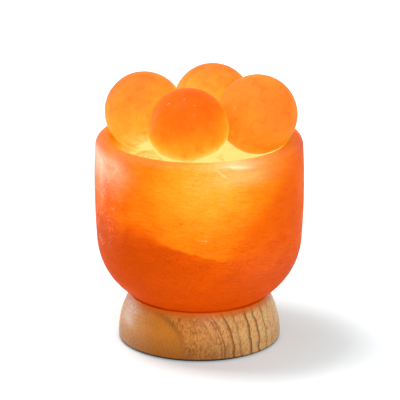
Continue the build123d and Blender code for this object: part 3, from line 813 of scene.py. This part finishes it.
# ---- Fittings ----------------------------------------------------------------------------
# Name, colour, roughness, and the nodes that have the finish. The roughness varies between
# two shares of its value.
METAL_FINISHES = (
    ("zinc_plated_steel", tone(190, 188, 182), 0.35, ("base_screws", "base_washers", "terminal_screws")),
    ("brass", tone(214, 176, 98), 0.28, ("screw_sleeve", "centre_contact", "terminals")),
    ("spring_steel", tone(120, 122, 130), 0.30, ("spring_clip",)),
    ("cap_metal", tone(222, 214, 188), 0.25, ("bulb_cap",)),
    ("solder", tone(200, 200, 200), 0.40, ("bulb_tip_contact",)),
    ("tungsten", tone(150, 144, 134), 0.40, ("lead_wires", "filament", "filament_supports")),
)
METAL_WEAR = (0.7, 1.4)
MOULDED_FINISHES = (
    ("nylon", tone(228, 224, 212), 0.50, ("screw_plugs",)),
    ("phenolic", tone(30, 27, 25), 0.32, ("holder_cap", "holder_shell", "holder_core")),
    ("vitrite", tone(22, 22, 26), 0.12, ("bulb_insulator",)),
)
MOULDED_WEAR = (0.8, 1.25)
MOULDED_RELIEF = 0.02 * MM

FELT_DARK_COLOUR = tone(58, 50, 42)
FELT_PALE_COLOUR = tone(98, 88, 76)
FELT_RELIEF = 0.12 * MM

LIT_GLASS_COLOUR = tone(255, 238, 205)
LIT_GLASS_RELIEF = 0.02 * MM
BULB_LOW_LIGHT = tone(250, 170, 80)
BULB_HIGH_LIGHT = tone(255, 226, 160)
BULB_LIGHT_UP = (55 * MM, 90 * MM, 0.5, 1.0)
CLEAR_GLASS_COLOUR = tone(240, 246, 246)
CLEAR_GLASS_RELIEF = 0.03 * MM


def metal_finish(name, colour, roughness):
    """Metal that is unevenly dull."""
    finish = Finish(name, Metallic=1.0, Base_Color=colour)
    worn = finish.noise(3 * MM, detail=4)
    finish.set(Roughness=finish.spread(worn, -1, 1, *(roughness * share for share in METAL_WEAR)))
    return finish.material


def moulded_finish(name, colour, roughness):
    """A moulded or cast material with a faint grain."""
    finish = Finish(name, Base_Color=colour)
    patch = finish.noise(8 * MM, detail=3)
    finish.set(
        Roughness=finish.spread(patch, -1, 1, *(roughness * share for share in MOULDED_WEAR)),
        Normal=finish.bump(finish.times(finish.noise(0.8 * MM, detail=2), MOULDED_RELIEF)),
    )
    return finish.material


def felt_finish():
    """Pressed wool felt with dark and pale fibres."""
    finish = Finish("pressed_felt", Roughness=0.95, Sheen_Weight=0.4)
    fibres = finish.noise(0.9 * MM, detail=5, roughness=0.7)
    finish.set(
        Base_Color=finish.ramp(finish.spread(fibres, -1, 1), (0, FELT_DARK_COLOUR), (1, FELT_PALE_COLOUR)),
        Normal=finish.bump(finish.times(fibres, FELT_RELIEF)),
    )
    return finish.material


def lit_glass_finish():
    """The bulb's frosted glass, dimmer and warmer near its cap."""
    finish = Finish("frosted_glass_lit", Base_Color=LIT_GLASS_COLOUR, Roughness=0.4)
    bright = finish.spread(finish.axes()["Z"], *BULB_LIGHT_UP)
    frosting = finish.noise(1.2 * MM, detail=3)
    seen = seen_directly(finish.material.node_tree)
    finish.set(
        Emission_Color=finish.mix(bright, BULB_LOW_LIGHT, BULB_HIGH_LIGHT),
        Emission_Strength=finish.spread(seen, 0.0, 1.0, BULB_STRENGTH, 1.0),
        Normal=finish.bump(finish.times(frosting, LIT_GLASS_RELIEF)),
    )
    return finish.material


def clear_glass_finish():
    """Clear, slightly wavy glass."""
    finish = Finish("clear_glass", Base_Color=CLEAR_GLASS_COLOUR, Roughness=0.05, Transmission_Weight=0.9)
    finish.set(Normal=finish.bump(finish.times(finish.noise(4 * MM), CLEAR_GLASS_RELIEF)))
    return finish.material


# ---- Pieces ------------------------------------------------------------------------------
def new_piece(name, mesh, material, node, body):
    """A finished piece that stands for a node of the frame and rides on its body."""
    piece = bpy.data.objects.new(name, mesh)
    bpy.context.scene.collection.objects.link(piece)
    mesh.materials.clear()
    mesh.materials.append(material)
    mesh.shade_smooth()
    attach(piece, body)
    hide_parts(node)


def remeshed(node, voxel):
    """An even mesh of a node's shape."""
    source = bpy.data.objects.new("remesh_source", nodes[node].data.copy())
    bpy.context.scene.collection.objects.link(source)
    remesh = source.modifiers.new("remesh", "REMESH")
    remesh.mode = "VOXEL"
    remesh.voxel_size = voxel
    remesh.adaptivity = 0.0
    graph = bpy.context.evaluated_depsgraph_get()
    mesh = bpy.data.meshes.new_from_object(source.evaluated_get(graph))
    bpy.data.objects.remove(source)
    return mesh


def press_in(mesh, depth_at):
    """Moves each vertex in along its normal by a depth that depends on its place."""
    normals = [vertex.normal.copy() for vertex in mesh.vertices]
    for vertex, normal in zip(mesh.vertices, normals):
        vertex.co -= normal * depth_at(vertex.co)
    mesh.update()


def waviness(place, depth, size, start):
    """Smooth noise from 0 to a depth."""
    return depth * (0.5 + 0.5 * noise.noise(place / size + Vector((start, start, start))))


def make_bowl():
    """The turned bowl, a little uneven but for its seat."""
    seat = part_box("wood_base")[1].z
    mesh = remeshed("salt_bowl", BOWL_VOXEL)

    def depth(place):
        free = min(1.0, max(0.0, (place.z - seat) / TRUE_SEAT))
        return free * sum(waviness(place, *wave) for wave in BOWL_WAVES)

    press_in(mesh, depth)
    new_piece("bowl_of_salt", mesh, bowl_finish(), "salt_bowl", "lamp")


def make_ball(side, clarity, fade, lift, veil, start):
    """A turned ball, a little uneven."""
    node = "salt_ball_" + side
    low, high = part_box(node)
    centre = (low + high) / 2
    radius = (high.x - low.x) / 2
    shape = bmesh.new()
    bmesh.ops.create_icosphere(shape, subdivisions=BALL_SUBDIVISIONS, radius=radius)
    bmesh.ops.translate(shape, verts=shape.verts, vec=centre)
    mesh = bpy.data.meshes.new("ball_" + side)
    shape.to_mesh(mesh)
    shape.free()

    def depth(place):
        return sum(waviness(place, *wave, start) for wave in BALL_WAVES)

    press_in(mesh, depth)
    material = ball_finish(side, centre, clarity, fade, lift, veil, start)
    new_piece("ball_of_salt_" + side, mesh, material, node, "ball_" + side)


def dress(material, *names):
    """Gives nodes of the frame their finish."""
    for name in names:
        nodes[name].data.materials.clear()
        nodes[name].data.materials.append(material)


def dress_fittings():
    """Gives the feet, the bulb, the holder and the fasteners their finish."""
    dress(felt_finish(), "foot_pads")
    dress(lit_glass_finish(), "bulb_glass")
    dress(clear_glass_finish(), "bulb_stem")
    for name, colour, roughness, fittings in METAL_FINISHES:
        dress(metal_finish(name, colour, roughness), *fittings)
    for name, colour, roughness, fittings in MOULDED_FINISHES:
        dress(moulded_finish(name, colour, roughness), *fittings)


# ---- Studio ------------------------------------------------------------------------------
def make_camera():
    """The camera, in front of the lamp and a little above it."""
    camera = bpy.data.objects.new("camera", bpy.data.cameras.new("camera"))
    bpy.context.scene.collection.objects.link(camera)
    back = Vector((0, -cos(CAMERA_ELEVATION), sin(CAMERA_ELEVATION)))
    camera.location = CAMERA_AIM + back * CAMERA_DISTANCE
    camera.rotation_euler = (-back).to_track_quat("-Z", "Y").to_euler()
    camera.data.lens = CAMERA_LENS
    camera.data.sensor_width = CAMERA_SENSOR
    camera.data.clip_end = CAMERA_REACH
    bpy.context.scene.camera = camera


def make_surroundings():
    """A white world that lights the lamp less than it shows."""
    world = bpy.data.worlds.new("studio")
    bpy.context.scene.world = world
    world.use_nodes = True
    tree = world.node_tree
    strength = tree.nodes.new("ShaderNodeMapRange")
    tree.links.new(seen_directly(tree), strength.inputs["Value"])
    strength.inputs["To Min"].default_value = FILL_LIGHT
    strength.inputs["To Max"].default_value = 1.0
    background = tree.nodes["Background"]
    background.inputs["Color"].default_value = (1, 1, 1, 1)
    tree.links.new(strength.outputs["Result"], background.inputs["Strength"])


def make_floor():
    """A pale floor that takes the lamp's shadow, has painted shade under and around the lamp, and reads
    white further out.
    """
    mesh = bpy.data.meshes.new("floor")
    half = FLOOR_HALF
    corners = [(-half, -half, 0), (half, -half, 0), (half, half, 0), (-half, half, 0)]
    mesh.from_pydata(corners, [], [(0, 1, 2, 3)])
    floor = bpy.data.objects.new("floor", mesh)
    bpy.context.scene.collection.objects.link(floor)
    finish = Finish("floor", Base_Color=(FLOOR_ALBEDO,) * 3, Roughness=1.0, Specular_IOR_Level=0.0)
    away = finish.vector("LENGTH", finish.place)
    lift = finish.add(*(finish.spread(away, *fade) for fade in FLOOR_LIFTS))
    seen = seen_directly(finish.material.node_tree)
    finish.set(Emission_Color=FLOOR_LIFT_COLOUR, Emission_Strength=finish.times(seen, lift))
    mesh.materials.append(finish.material)


def make_light(name, place, side, share):
    """A soft square light that adds a share of full white on a surface that faces it."""
    place = Vector(place)
    lamp = bpy.data.lights.new(name, "AREA")
    lamp.shape = "SQUARE"
    lamp.size = side
    distance = (place - CAMERA_AIM).length
    lamp.energy = share * (pi * distance) ** 2
    light = bpy.data.objects.new(name, lamp)
    bpy.context.scene.collection.objects.link(light)
    light.location = place
    light.rotation_euler = (CAMERA_AIM - place).to_track_quat("-Z", "Y").to_euler()


# ---- Put together ------------------------------------------------------------------------
make_bowl()
for ball in SALT_BALLS:
    make_ball(*ball)
dress(wood_finish(), "wood_base")
dress_fittings()

make_camera()
make_surroundings()
make_floor()
for row in STUDIO_LIGHTS:
    make_light(*row)
bpy.context.scene.view_settings.view_transform = "Standard"
